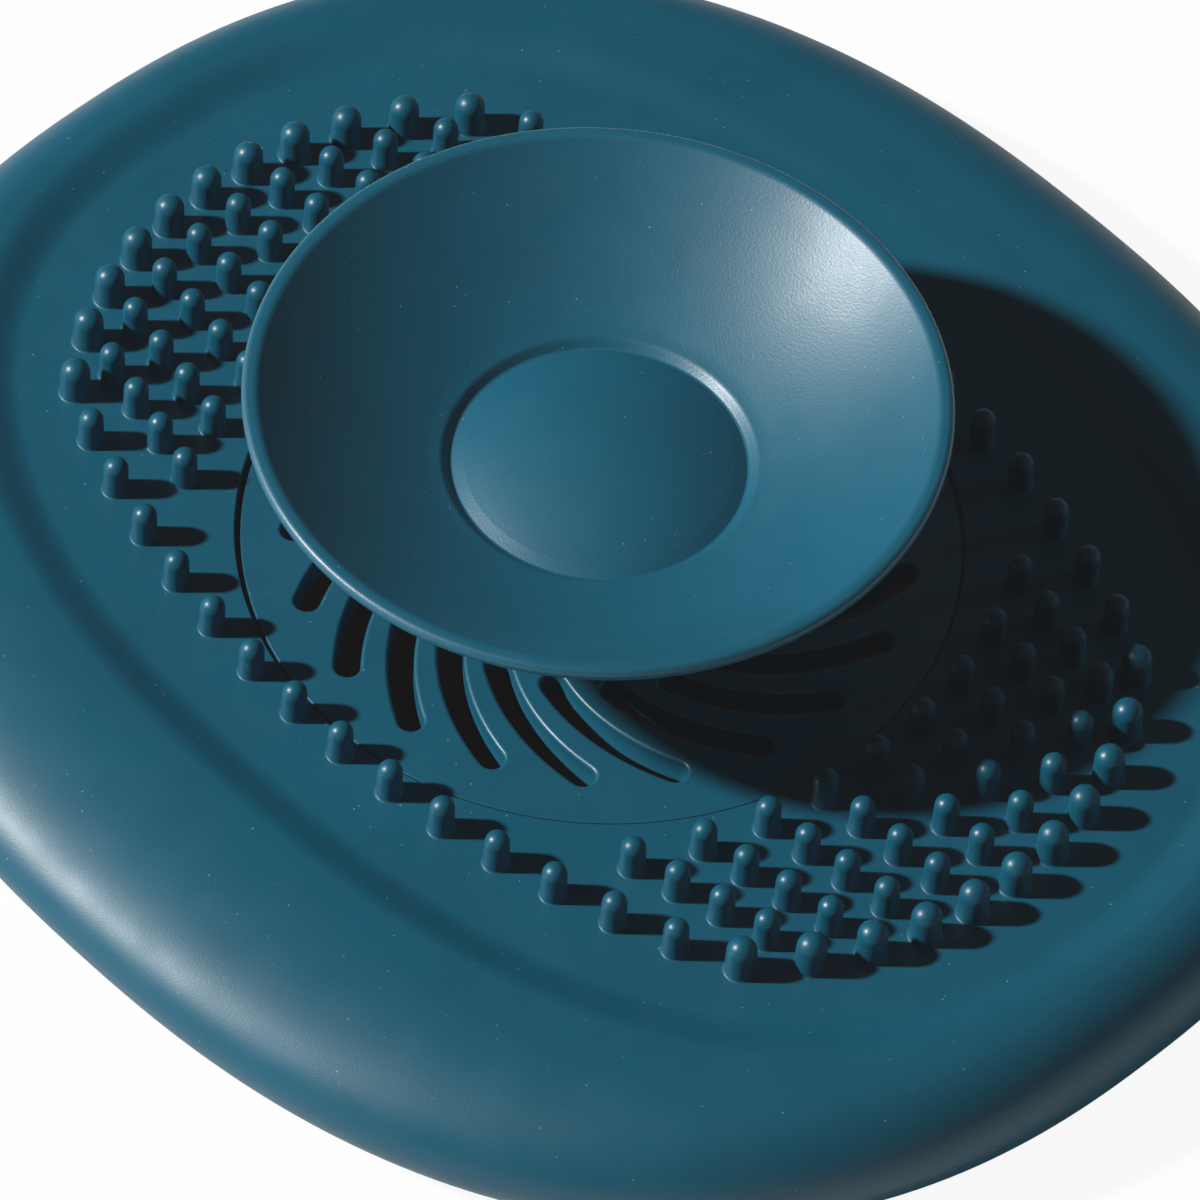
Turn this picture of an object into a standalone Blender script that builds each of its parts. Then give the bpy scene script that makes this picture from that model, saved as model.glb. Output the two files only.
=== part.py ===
"""Drain hair catcher: a silicone mat with catching pegs, a lift-out strainer and a turn-inside-out stopper.

Metres, +Z up. The origin is on the strainer's axis, at the level that the mat stands on.
+X runs along the mat's longer side.
"""

from math import asin, cos, hypot, pi, radians, sin, sqrt

import bmesh
import bpy
from mathutils import Vector

# Gap between neighbouring pieces
piece_gap = 0.0003
# Overrun of every cutter and of every moulded-on form into what it joins
overrun = 0.0006

# Strainer: plate, locating skirt and the boss that holds the stopper's stem
plate_radius = 0.0297
plate_thickness = 0.0020
plate_side_clearance = 0.0004
plate_edge_round = 0.0002
seat_ledge_width = 0.0019
skirt_wall = 0.0012
skirt_length = 0.0055
boss_wall = 0.0022
boss_length = 0.0035

# Strainer slots: width, centres of their round ends, and the turn between the two ends
slot_count = 21
slot_width = 0.0021
slot_inner_radius = 0.01635
slot_skirt_margin = 0.0004
slot_sweep = radians(27.5)
slot_first_angle = radians(-46.6)

# Mat: deck round the strainer's seat, and the sections of its border
end_deck_length = 0.0254
side_deck_width = 0.0105
end_crest_width = 0.00135
side_crest_width = 0.00875
deck_height = 0.0100
mat_wall = 0.0022
border_rise = 0.0012
border_slope_width = 0.0045
roll_width = 0.0062
roll_top_height = 0.0040
lip_inset = 0.0030
lip_width = 0.0020

# Mat: how full the outline's corners are, and where the border's section has its points
outline_power_share = 2.35
slope_top_shares = (0.0, 0.3, 0.7, 1.0)
slope_under_shares = (0.0, 1.0)
roll_top_angles = (80, 55, 28, 0)
roll_under_angles = (0, 65)
lip_neck_height_share = 0.45
lip_neck_outer_share = 0.35
lip_neck_inner_share = 0.50

# Pegs: two sizes, the base that flares into the deck, and the domed tip
peg_height = 0.0037
thin_peg_radius = 0.00108
thick_peg_radius = 0.00130
peg_flare_share = 1.10
peg_taper_share = 0.94
peg_dome_angles = (50, 5)

# Peg rows at each end, the outermost first: each row further in is flatter and wider pitched.
# Pegs that would touch the seat or another peg are left out.
end_row_margin = 0.0070
end_row_seat_margin = 0.0020
end_row_radius = 0.0334
end_row_pitch = 0.00447
end_row_step = 0.0040
end_row_radius_step = 0.0030
end_row_pitch_step = 0.00025
outer_row_pegs = 11
inner_row_pegs = 9

# Peg row along each long side
side_row_seat_margin = 0.0015
side_row_radius = 0.0950
side_row_pitch = 0.00552
side_row_pegs = 14

# Stopper: domed button sunk below a step, thin wall that turns about the step, and rolled rim
rim_plate_inset = 0.0007
rim_height = 0.0180
rim_bead_radius = 0.00080
button_radius = 0.0123
button_height = 0.0090
button_dome_rise = 0.0020
button_ring_width = 0.0010
step_width = 0.0009
step_height = 0.00065
hinge_wall = 0.0009
stopper_wall_thickness = 0.0012
stopper_wall_sag = 0.0006
hub_skin = 0.0016
column_top_radius = 0.0082
column_waist_radius = 0.0052
column_foot_radius = 0.0062
column_foot_height = 0.0008
stem_radius = 0.0034
stem_clearance = 0.0003
barb_overhang = 0.0015
barb_land = 0.0006
barb_length = 0.0018

# Stopper: points of its section, as shares of the step's width and height and of its other sizes
step_turn_share = 0.50
step_turn_height_share = 0.77
step_under_share = 0.30
column_waist_height_share = 0.35
barb_tip_share = 0.80

# Suction cups pushed into sockets under the mat
cup_end_inset = 0.0130
cup_side_inset = 0.0131
cup_radius = 0.0075
cup_lip_width = 0.0007
cup_shoulder_height = 0.0022
cup_height = 0.0044
cup_hollow_height = 0.0024
cup_neck_radius = 0.0026
cup_head_overhang = 0.0007
cup_head_height = 0.0011
socket_wall = 0.0018
socket_lip_height = 0.0009
socket_clearance = 0.0003

# Suction cups: shoulder and hollow of the bell, as shares of its radius and of the hollow's height
cup_shoulder_share = 0.70
cup_hollow_share = 0.55
cup_hollow_side_share = 0.62

# Number of facets round each form
mat_segments = 72
plate_segments = 63
stopper_segments = 36
cup_segments = 16
peg_segments = 7
slot_path_steps = 4
slot_end_steps = 3
bead_steps = 8
dome_steps = 4
wall_steps = 4
sharp_angle = radians(35.0)

# Sizes of the mat and strainer that follow from the ones above
seat_radius = plate_radius + plate_side_clearance
recess_length = 2 * (seat_radius + end_deck_length)
recess_width = 2 * (seat_radius + side_deck_width)
mat_length = recess_length + 2 * (border_slope_width / 2 + end_crest_width + roll_width)
mat_width = recess_width + 2 * (border_slope_width / 2 + side_crest_width + roll_width)
crest_height = deck_height + border_rise
roll_widest_height = crest_height - roll_top_height
ledge_inner_radius = seat_radius - seat_ledge_width
skirt_radius = ledge_inner_radius - piece_gap
skirt_inner_radius = skirt_radius - skirt_wall
slot_outer_radius = skirt_inner_radius - slot_skirt_margin - slot_width / 2
plate_bottom = deck_height - plate_thickness
ledge_top = plate_bottom - piece_gap
ledge_bottom = ledge_top - mat_wall

# Places of the peg rows and suction cups: as many rows at each end as fit before the seat
end_row_crown = recess_length / 2 - end_row_margin
end_row_count = 1 + int((end_row_crown - seat_radius - end_row_seat_margin) / end_row_step)
side_row_reach = seat_radius + side_row_seat_margin
cup_place_x = recess_length / 2 - cup_end_inset
cup_place_y = recess_width / 2 - cup_side_inset

# Sizes of the stopper that follow from the ones above
bore_radius = stem_radius + stem_clearance
boss_radius = bore_radius + boss_wall
boss_bottom = plate_bottom - boss_length
rim_centre_radius = plate_radius - rim_plate_inset - rim_bead_radius
rim_centre_height = deck_height + rim_height - rim_bead_radius
button_edge_height = deck_height + button_height
hinge_radius = button_radius + step_width
hinge_height = button_edge_height + step_height
wall_reach = rim_centre_radius - hinge_radius
wall_slope = (rim_centre_height - hinge_height) / wall_reach
wall_drop = stopper_wall_thickness * sqrt(1 + wall_slope ** 2)
wall_rise = rim_centre_height + wall_drop / 2 - hinge_height


def clear_scene():
    """Remove every object, mesh and material that the file opens with."""
    for thing in list(bpy.data.objects):
        bpy.data.objects.remove(thing, do_unlink=True)
    for mesh in list(bpy.data.meshes):
        bpy.data.meshes.remove(mesh)
    for material in list(bpy.data.materials):
        bpy.data.materials.remove(material)


def silicone(name, colour, roughness):
    """Moulded silicone: satin, not metallic."""
    material = bpy.data.materials.new(name)
    material.use_nodes = True
    shader = material.node_tree.nodes["Principled BSDF"]
    shader.inputs["Base Color"].default_value = (*colour, 1.0)
    shader.inputs["Roughness"].default_value = roughness
    shader.inputs["Metallic"].default_value = 0.0
    material.diffuse_color = (*colour, 1.0)
    return material


def add_object(name, bm, material=None):
    """Turn a closed mesh into a named, smooth-shaded object."""
    bmesh.ops.recalc_face_normals(bm, faces=bm.faces)
    mesh = bpy.data.meshes.new(name)
    bm.to_mesh(mesh)
    bm.free()
    mesh.shade_smooth()
    mesh.set_sharp_from_angle(angle=sharp_angle)
    piece = bpy.data.objects.new(name, mesh)
    bpy.context.scene.collection.objects.link(piece)
    if material:
        mesh.materials.append(material)
    return piece


def make_guide(piece):
    """Mark an object that only shapes another one."""
    piece.hide_render = True
    piece.display_type = "WIRE"


def combine(piece, guide, operation):
    """Cut a guide out of a piece, or join it on."""
    make_guide(guide)
    modifier = piece.modifiers.new(guide.name, "BOOLEAN")
    modifier.operation = operation
    modifier.solver = "EXACT"
    modifier.object = guide


def bridge(bm, ring_a, ring_b):
    """Join two rings of as many points with four-sided faces."""
    count = len(ring_a)
    for i in range(count):
        j = (i + 1) % count
        bm.faces.new((ring_a[i], ring_a[j], ring_b[j], ring_b[i]))


def close_to_point(bm, ring, point):
    """Close a ring with a fan of triangles."""
    tip = bm.verts.new(point)
    count = len(ring)
    for i in range(count):
        bm.faces.new((ring[i], ring[(i + 1) % count], tip))


def lathe(bm, profile, segments, centre=Vector((0, 0, 0))):
    """Turn a profile of (radius, height) points about +Z. It closes on the axis or on itself."""
    rings = []
    tips = []
    for radius, height in profile:
        if radius == 0:
            tips.append(centre + Vector((0, 0, height)))
            continue
        ring = []
        for i in range(segments):
            angle = 2 * pi * i / segments
            ring.append(bm.verts.new(centre + Vector((radius * cos(angle), radius * sin(angle), height))))
        rings.append(ring)
    for ring_a, ring_b in zip(rings, rings[1:]):
        bridge(bm, ring_a, ring_b)
    if tips:
        close_to_point(bm, rings[0], tips[0])
        close_to_point(bm, rings[-1], tips[-1])
    else:
        bridge(bm, rings[-1], rings[0])


def oval_point(length, width, angle, outset=0.0):
    """Point of a rounded oblong outline at an angle from the middle, moved out square to the outline."""
    half_length = length / 2
    half_width = width / 2
    power = outline_power_share
    along = abs(cos(angle)) / half_length
    across = abs(sin(angle)) / half_width
    radius = (along ** power + across ** power) ** (-1 / power)
    point = Vector((radius * cos(angle), radius * sin(angle)))
    slope_x = along ** (power - 1) / half_length
    slope_y = across ** (power - 1) / half_width
    normal = Vector((slope_x if cos(angle) > 0 else -slope_x, slope_y if sin(angle) > 0 else -slope_y))
    return point + normal.normalized() * outset


def oval_ring(length, width, outset, height):
    """Ring of points along a rounded oblong outline."""
    ring = []
    for i in range(mat_segments):
        point = oval_point(length, width, 2 * pi * (i + 0.5) / mat_segments, outset)
        ring.append(Vector((point.x, point.y, height)))
    return ring


def outline_ring(inset, height):
    """Ring along the mat's outline, moved in."""
    return oval_ring(mat_length, mat_width, -inset, height)


def recess_ring(outset, height):
    """Ring along the edge of the mat's recess, moved out."""
    return oval_ring(recess_length, recess_width, outset, height)


def round_ring(radius, height):
    """Round ring with as many points as the mat's outline."""
    ring = []
    for i in range(mat_segments):
        angle = 2 * pi * (i + 0.5) / mat_segments
        ring.append(Vector((radius * cos(angle), radius * sin(angle), height)))
    return ring


def roll_ring(angle, skin):
    """Ring on the rolled border: the angle runs from straight up to straight out and under."""
    across = (roll_width - skin) * (1 - cos(angle)) + skin
    if angle >= 0:
        rise = (roll_top_height - skin) * sin(angle)
    else:
        rise = roll_widest_height * sin(angle)
    return outline_ring(across, roll_widest_height + rise)


def slope_rings(skin, slope_shares):
    """Rings up the slope from the recess to the border's crest, the inner one first."""
    rings = []
    for share in slope_shares:
        eased = share * share * (3 - 2 * share)
        outset = border_slope_width * (share - 0.5)
        rings.append(recess_ring(outset, deck_height + border_rise * eased - skin))
    return rings


def mat_shell():
    """Lofted shell of the mat: seat, deck, slope, crest, rolled border and lip, and the same way back."""
    rings = [
        round_ring(ledge_inner_radius, ledge_bottom),
        round_ring(ledge_inner_radius, ledge_top),
        round_ring(seat_radius, ledge_top),
        round_ring(seat_radius, deck_height - plate_edge_round),
        round_ring(seat_radius + plate_edge_round, deck_height),
    ]
    rings += slope_rings(0.0, slope_top_shares)
    for angle in roll_top_angles:
        rings.append(roll_ring(radians(angle), 0.0))
    neck_height = roll_widest_height * lip_neck_height_share
    rings.append(outline_ring(lip_inset * lip_neck_outer_share, neck_height))
    rings.append(outline_ring(lip_inset, 0))
    rings.append(outline_ring(lip_inset + lip_width, 0))
    rings.append(outline_ring(mat_wall + lip_inset * lip_neck_inner_share, neck_height))
    for angle in roll_under_angles:
        rings.append(roll_ring(radians(angle), mat_wall))
    rings += reversed(slope_rings(mat_wall, slope_under_shares))
    rings.append(round_ring(seat_radius + mat_wall, deck_height - mat_wall))
    rings.append(round_ring(seat_radius + mat_wall, ledge_bottom))
    bm = bmesh.new()
    loops = []
    for ring in rings:
        loops.append([bm.verts.new(point) for point in ring])
    for loop_a, loop_b in zip(loops, loops[1:] + loops[:1]):
        bridge(bm, loop_a, loop_b)
    return bm


def peg_fits(places, x, y, radius):
    """Whether a peg's base stands clear of the strainer's seat and of the pegs already placed."""
    base = radius * peg_flare_share
    if hypot(x, y) < seat_radius + plate_edge_round + base:
        return False
    for there_x, there_y, there_radius in places:
        if hypot(x - there_x, y - there_y) < base + there_radius * peg_flare_share:
            return False
    return True


def add_peg_pair(places, x, y, radius):
    """Add a peg and the one straight across the strainer's axis from it, where they fit."""
    for side in (1, -1):
        if peg_fits(places, side * x, side * y, radius):
            places.append((side * x, side * y, radius))


def peg_places():
    """Places of all the pegs, and the radius of each: (x, y, radius)."""
    places = []
    for row in range(end_row_count):
        crown = end_row_crown - row * end_row_step
        arc = end_row_radius + row * end_row_radius_step
        pitch = end_row_pitch + row * end_row_pitch_step
        count = inner_row_pegs if row else outer_row_pegs
        radius = thin_peg_radius if row else thick_peg_radius
        for k in range(count):
            across = (k - (count - 1) / 2) * pitch
            along = crown - arc + sqrt(arc ** 2 - across ** 2)
            add_peg_pair(places, along, across, radius)
    for k in range(side_row_pegs):
        turn = (k - (side_row_pegs - 1) / 2) * side_row_pitch / side_row_radius
        along = side_row_radius * sin(turn)
        across = side_row_reach - side_row_radius * (1 - cos(turn))
        add_peg_pair(places, along, across, thin_peg_radius)
    return places


def peg_profile(radius):
    """Profile of one peg, from its tip down into the deck."""
    shoulder = radius * peg_taper_share
    profile = [(0, deck_height + peg_height)]
    for angle in peg_dome_angles:
        height = deck_height + peg_height - shoulder * (1 - sin(radians(angle)))
        profile.append((shoulder * cos(radians(angle)), height))
    profile.append((radius * peg_flare_share, deck_height - overrun))
    profile.append((0, deck_height - overrun))
    return profile


def pegs():
    """All the pegs as one guide of separate bodies."""
    bm = bmesh.new()
    for x, y, radius in peg_places():
        lathe(bm, peg_profile(radius), peg_segments, Vector((x, y, 0)))
    return add_object("guide_pegs", bm)


def cup_places():
    """Places of the suction cups, by name."""
    return {
        "suction_cup_front_left": (-cup_place_x, -cup_place_y),
        "suction_cup_front_right": (cup_place_x, -cup_place_y),
        "suction_cup_back_left": (-cup_place_x, cup_place_y),
        "suction_cup_back_right": (cup_place_x, cup_place_y),
    }


def socket_sizes():
    """Heights and radii that a socket and its suction cup share."""
    mouth = cup_neck_radius + socket_clearance
    chamber = cup_neck_radius + cup_head_overhang + socket_clearance
    roof = deck_height - mat_wall
    floor = roof - socket_clearance - cup_head_height - socket_clearance
    return mouth, chamber, roof, floor


def sockets():
    """Undercut sockets under the deck that hold the suction cups, as one guide."""
    mouth, chamber, roof, floor = socket_sizes()
    outside = chamber + socket_wall
    profile = [
        (outside, roof + overrun),
        (outside, floor - socket_lip_height),
        (mouth, floor - socket_lip_height),
        (mouth, floor),
        (chamber, floor),
        (chamber, roof + overrun),
    ]
    bm = bmesh.new()
    for x, y in cup_places().values():
        lathe(bm, profile, cup_segments, Vector((x, y, 0)))
    return add_object("guide_sockets", bm)


def make_mat(material):
    """Mat with its pegs and sockets moulded on."""
    mat = add_object("mat", mat_shell(), material)
    combine(mat, pegs(), "UNION")
    combine(mat, sockets(), "UNION")
    return mat


def make_suction_cups(material):
    """Suction cups: bell, neck and the head that snaps into its socket."""
    mouth, chamber, roof, floor = socket_sizes()
    head_radius = cup_neck_radius + cup_head_overhang
    head_bottom = floor + socket_clearance
    profile = [
        (0, head_bottom + cup_head_height),
        (head_radius, head_bottom + cup_head_height / 2),
        (head_radius, head_bottom),
        (cup_neck_radius, head_bottom),
        (cup_neck_radius, cup_height),
        (cup_neck_radius + cup_lip_width, cup_height - cup_lip_width),
        (cup_radius * cup_shoulder_share, cup_shoulder_height),
        (cup_radius, cup_lip_width / 2),
        (cup_radius, 0),
        (cup_radius - cup_lip_width, 0),
        (cup_radius * cup_hollow_share, cup_hollow_height * cup_hollow_side_share),
        (0, cup_hollow_height),
    ]
    for name, (x, y) in cup_places().items():
        bm = bmesh.new()
        lathe(bm, profile, cup_segments)
        cup = add_object(name, bm, material)
        cup.location = (x, y, 0)


def slot_outline():
    """Outline of one slot: a band along a spiral, with round ends."""
    half = slot_width / 2
    span = slot_outer_radius - slot_inner_radius
    path = []
    headings = []
    for i in range(slot_path_steps + 1):
        share = i / slot_path_steps
        radius = slot_inner_radius + span * share
        angle = slot_first_angle - slot_sweep * (1 - share)
        path.append(Vector((radius * cos(angle), radius * sin(angle))))
        turn = radius * slot_sweep / span
        outward = Vector((cos(angle), sin(angle)))
        sideways = Vector((-sin(angle), cos(angle)))
        headings.append((outward + sideways * turn).normalized())
    points = []
    for place, heading in zip(path, headings):
        points.append(place + Vector((heading.y, -heading.x)) * half)
    for side, place, heading in ((1, path[-1], headings[-1]), (-1, path[0], headings[0])):
        if side < 0:
            for back, way in zip(reversed(path), reversed(headings)):
                points.append(back - Vector((way.y, -way.x)) * half)
        start = Vector((heading.y, -heading.x)) * side
        for i in range(1, slot_end_steps):
            angle = pi * i / slot_end_steps
            points.append(place + (start * cos(angle) + heading * side * sin(angle)) * half)
    return points


def slots():
    """Cutters of all the strainer's slots, as one guide."""
    outline = slot_outline()
    bm = bmesh.new()
    for k in range(slot_count):
        turn = 2 * pi * k / slot_count
        low = []
        high = []
        for point in outline:
            x = point.x * cos(turn) - point.y * sin(turn)
            y = point.x * sin(turn) + point.y * cos(turn)
            low.append(bm.verts.new((x, y, plate_bottom - overrun)))
            high.append(bm.verts.new((x, y, deck_height + overrun)))
        bridge(bm, low, high)
        bm.faces.new(low)
        bm.faces.new(high)
    return add_object("guide_slots", bm)


def make_strainer(material):
    """Strainer: plate with a skirt that centres it in the mat, a bored boss and curved slots."""
    skirt_bottom = plate_bottom - skirt_length
    profile = [
        (bore_radius, deck_height),
        (plate_radius - plate_edge_round, deck_height),
        (plate_radius, deck_height - plate_edge_round),
        (plate_radius, plate_bottom),
        (skirt_radius, plate_bottom),
        (skirt_radius, skirt_bottom),
        (skirt_inner_radius, skirt_bottom),
        (skirt_inner_radius, plate_bottom),
        (boss_radius, plate_bottom),
        (boss_radius, boss_bottom),
        (bore_radius, boss_bottom),
    ]
    bm = bmesh.new()
    lathe(bm, profile, plate_segments)
    strainer = add_object("strainer", bm, material)
    combine(strainer, slots(), "DIFFERENCE")


def dome_points():
    """Domed top of the button, from its middle to its flat ring."""
    dome_radius = button_radius - button_ring_width
    sphere = (dome_radius ** 2 + button_dome_rise ** 2) / (2 * button_dome_rise)
    spread = asin(dome_radius / sphere)
    points = []
    for i in range(dome_steps + 1):
        angle = spread * i / dome_steps
        radius = sphere * sin(angle)
        height = button_edge_height + button_dome_rise - sphere * (1 - cos(angle))
        points.append((radius if i else 0, height))
    return points


def make_stopper_hub(material):
    """Stopper's middle: domed button, step round it, waisted column, stem and the barb that holds it."""
    stem_end = boss_bottom - piece_gap
    barb_radius = stem_radius + barb_overhang
    hub_edge = wall_height(hinge_radius - piece_gap)
    turn_radius = button_radius + step_width * step_turn_share
    turn_height = button_edge_height + step_height * step_turn_height_share
    profile = dome_points() + [
        (button_radius, button_edge_height),
        (turn_radius, turn_height),
        (hinge_radius - piece_gap, hub_edge),
        (hinge_radius - piece_gap, hub_edge - wall_drop),
        (button_radius + step_width * step_under_share, button_edge_height - hinge_wall),
        (column_top_radius, button_edge_height - hub_skin),
        (column_waist_radius, deck_height + button_height * column_waist_height_share),
        (column_foot_radius, deck_height + piece_gap + column_foot_height),
        (column_foot_radius, deck_height + piece_gap),
        (stem_radius, deck_height + piece_gap),
        (stem_radius, stem_end),
        (barb_radius, stem_end),
        (barb_radius, stem_end - barb_land),
        (stem_radius * barb_tip_share, stem_end - barb_length),
        (0, stem_end - barb_length),
    ]
    bm = bmesh.new()
    lathe(bm, profile, stopper_segments)
    add_object("stopper_hub", bm, material)


def wall_height(radius):
    """Height of the stopper wall's upper face at a radius: it sags below the straight line to the rim."""
    share = (radius - hinge_radius) / wall_reach
    return hinge_height + wall_rise * share - 4 * stopper_wall_sag * share * (1 - share)


def make_stopper_wall(material):
    """Stopper's thin wall: the bowl that turns inside out between the hinge and the rim."""
    outer = rim_centre_radius - rim_bead_radius - piece_gap
    above = []
    below = []
    for i in range(wall_steps + 1):
        radius = hinge_radius + (outer - hinge_radius) * i / wall_steps
        above.append((radius, wall_height(radius)))
        below.append((radius, wall_height(radius) - wall_drop))
    profile = above + below[::-1]
    bm = bmesh.new()
    lathe(bm, profile, stopper_segments)
    add_object("stopper_wall", bm, material)


def make_stopper_rim(material):
    """Stopper's rolled rim, whose underside seals on the strainer when it is turned down."""
    bm = bmesh.new()
    profile = []
    for i in range(bead_steps):
        angle = 2 * pi * (i + 0.5) / bead_steps
        radius = rim_centre_radius + rim_bead_radius * cos(angle)
        profile.append((radius, rim_centre_height + rim_bead_radius * sin(angle)))
    lathe(bm, profile, stopper_segments)
    rim = add_object("stopper_rim", bm, material)
    for vertex in rim.data.vertices:
        vertex.co.z -= rim_centre_height
    rim.location = (0, 0, rim_centre_height)


def main():
    """Build every piece of the drain hair catcher."""
    clear_scene()
    teal = (0.021, 0.120, 0.180)
    make_mat(silicone("mat_silicone", teal, 0.48))
    make_strainer(silicone("strainer_silicone", teal, 0.45))
    stopper = silicone("stopper_silicone", (0.024, 0.130, 0.195), 0.42)
    make_stopper_hub(stopper)
    make_stopper_wall(stopper)
    make_stopper_rim(stopper)
    make_suction_cups(silicone("suction_cup_silicone", teal, 0.45))


main()
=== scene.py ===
"""Looks of the drain hair catcher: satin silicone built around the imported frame.

Metres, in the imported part's frame: +Z up, the origin on the strainer's axis at the level that the mat
stands on, +X along the mat's longer side.
"""

from math import asin, atan2, cos, hypot, pi, radians, sin, sqrt, tan

import bmesh
import bpy
from mathutils import Matrix, Vector
from mathutils.geometry import delaunay_2d_cdt


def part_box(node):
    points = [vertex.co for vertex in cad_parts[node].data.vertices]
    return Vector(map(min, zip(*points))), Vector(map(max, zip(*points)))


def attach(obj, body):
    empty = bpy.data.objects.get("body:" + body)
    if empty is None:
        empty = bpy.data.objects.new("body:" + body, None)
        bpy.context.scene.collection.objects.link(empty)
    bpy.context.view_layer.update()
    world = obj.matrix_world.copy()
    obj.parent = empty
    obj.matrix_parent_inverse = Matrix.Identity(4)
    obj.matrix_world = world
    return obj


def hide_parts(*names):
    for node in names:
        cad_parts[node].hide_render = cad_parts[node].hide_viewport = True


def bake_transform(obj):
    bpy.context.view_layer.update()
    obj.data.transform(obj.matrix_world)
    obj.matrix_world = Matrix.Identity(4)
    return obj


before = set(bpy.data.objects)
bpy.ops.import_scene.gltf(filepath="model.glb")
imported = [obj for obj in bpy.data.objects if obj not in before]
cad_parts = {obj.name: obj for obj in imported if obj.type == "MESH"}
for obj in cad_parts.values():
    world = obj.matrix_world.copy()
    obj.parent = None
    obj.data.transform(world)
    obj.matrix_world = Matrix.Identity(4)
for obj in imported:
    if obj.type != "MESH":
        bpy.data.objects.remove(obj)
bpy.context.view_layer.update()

# Sizes that the frame gives
mat_low, mat_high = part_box("mat")
strainer_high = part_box("strainer")[1]
rim_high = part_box("stopper_rim")[1]
mat_length = mat_high.x - mat_low.x
mat_width = mat_high.y - mat_low.y
plate_radius = strainer_high.x
deck_height = strainer_high.z
peg_height = mat_high.z - deck_height
rim_radius = rim_high.x
rim_top = rim_high.z

# Gap between neighbouring pieces, and the band that keeps a fillet's shading off the flat beside it
piece_gap = 0.0003
guard = 0.00004

# Strainer: plate, locating skirt and the boss that holds the stopper's stem
plate_thickness = 0.0025
plate_side_clearance = 0.0004
plate_edge_round = 0.00006
seat_edge_round = 0.00012
seat_ledge_width = 0.0019
skirt_wall = 0.0012
skirt_length = 0.0050
boss_wall = 0.0022
boss_length = 0.0030
mould_round = 0.0003

# Strainer slots: width, centres of their round ends, the turn between the two ends, and the worn edge
slot_count = 21
slot_width = 0.0021
slot_inner_radius = 0.01635
slot_outer_radius = 0.02525
slot_sweep = radians(27.5)
slot_first_angle = radians(-46.6)
slot_top_round = 0.00032
slot_flash_width = 0.00008
slot_flash_height = 0.00012

# Mat: widths of the border's sections as moulded, its heights, and the lip that it stands on
end_crest_width = 0.00135
side_crest_width = 0.00875
mat_wall = 0.0022
border_rise = 0.0012
border_slope_width = 0.0045
roll_width = 0.0062
roll_top_height = 0.0062
lip_inset = 0.0030
lip_width = 0.0020
outline_power_share = 2.35
lip_neck_height_share = 0.45
lip_neck_outer_share = 0.35
lip_neck_inner_share = 0.50
lip_edge_share = 0.125
lip_neck_shares = (0.35, 0.7, 1.0)

# How the soft mat lies: its slope further out at the ends and flatter at the back, and its roll broader
# at the front and back than at the ends
slope_stretch = 0.0030
slope_shift = 0.0012
flat_azimuth = radians(100.0)
flatness = 0.80
end_roll_width = 0.0056
front_roll_width = 0.0155
front_azimuth = radians(-95.0)
back_roll_width = 0.0082
back_azimuth = radians(85.0)

# Pegs: two sizes, the fillet at the foot, and the slight taper to the domed tip
thin_peg_radius = 0.00108
thick_peg_radius = 0.00130
peg_taper_share = 0.97
peg_foot_share = 0.18

# Peg rows at each end, the outermost first: each row further in is flatter and wider pitched
end_row_margin = 0.0070
end_row_count = 5
end_row_radius = 0.0334
end_row_pitch = 0.00447
end_row_step = 0.0040
end_row_radius_step = 0.0030
end_row_pitch_step = 0.00025
outer_row_pegs = 11
inner_row_pegs = 9

# Peg row along each long side
side_row_seat_margin = 0.0015
side_row_radius = 0.0950
side_row_pitch = 0.00552
side_row_pegs = 14

# Stopper: rim, domed button sunk below a step, wall that turns about the step, column and stem
rim_slope = radians(37.5)
rim_band_width = 0.00118
rim_side_height = 0.00095
rim_shoulder_round = 0.0010
rim_edge_round = 0.00055
rim_under_round = 0.0005
button_radius = 0.0123
button_height = 0.0090
button_dome_rise = 0.0025
button_ring_width = 0.0002
button_ring_rise = 0.00005
dome_edge_width = 0.0010
dome_edge_slope = radians(24.5)
dome_edge_round = 0.0008
dome_foot_round = 0.0001
step_width = 0.0010
step_height = 0.0007
step_turn_share = 0.64
step_turn_height_share = 0.90
step_foot_round = 0.00005
step_shoulder_round = 0.0011
hinge_wall = 0.0009
hinge_wall_share = 0.30
hub_skin = 0.0016
column_top_radius = 0.0082
column_waist_radius = 0.0052
column_waist_height_share = 0.35
column_foot_radius = 0.0062
column_foot_height = 0.0008
stem_radius = 0.0034
stem_clearance = 0.0003
barb_overhang = 0.0015
barb_land = 0.0006
barb_length = 0.0018
barb_tip_share = 0.80

# How the soft pieces sit: the stopper leans a little, and the strainer lies to one side of its seat
lean_share = 0.052
lean_azimuth = radians(223.5)
plate_shift = 0.00038
plate_shift_azimuth = radians(-30.0)

# Suction cups pushed into sockets under the mat
cup_end_inset = 0.0130
cup_side_inset = 0.0131
cup_radius = 0.0075
cup_lip_width = 0.0007
cup_shoulder_height = 0.0022
cup_height = 0.0044
cup_hollow_height = 0.0024
cup_neck_radius = 0.0026
cup_head_overhang = 0.0007
cup_head_height = 0.0011
cup_shoulder_share = 0.70
cup_hollow_share = 0.55
cup_hollow_side_share = 0.62
socket_wall = 0.0018
socket_lip_height = 0.0009
socket_clearance = 0.0003
socket_root_share = 0.25

# How finely each form is divided, and how its mesh is shaded and joined
mat_segments = 288
round_segments = 224
cup_segments = 64
peg_segments = 26
fillet_steps = 6
slot_path_steps = 16
slot_end_steps = 10
dome_steps = 24
wall_steps = 28
slope_steps = 16
roll_steps = 32
inner_slope_steps = 6
inner_roll_steps = 10
longest_step = 0.0006
rounding_up = 0.4
sharp_angle = radians(50.0)
weld_distance = 1e-7

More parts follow.
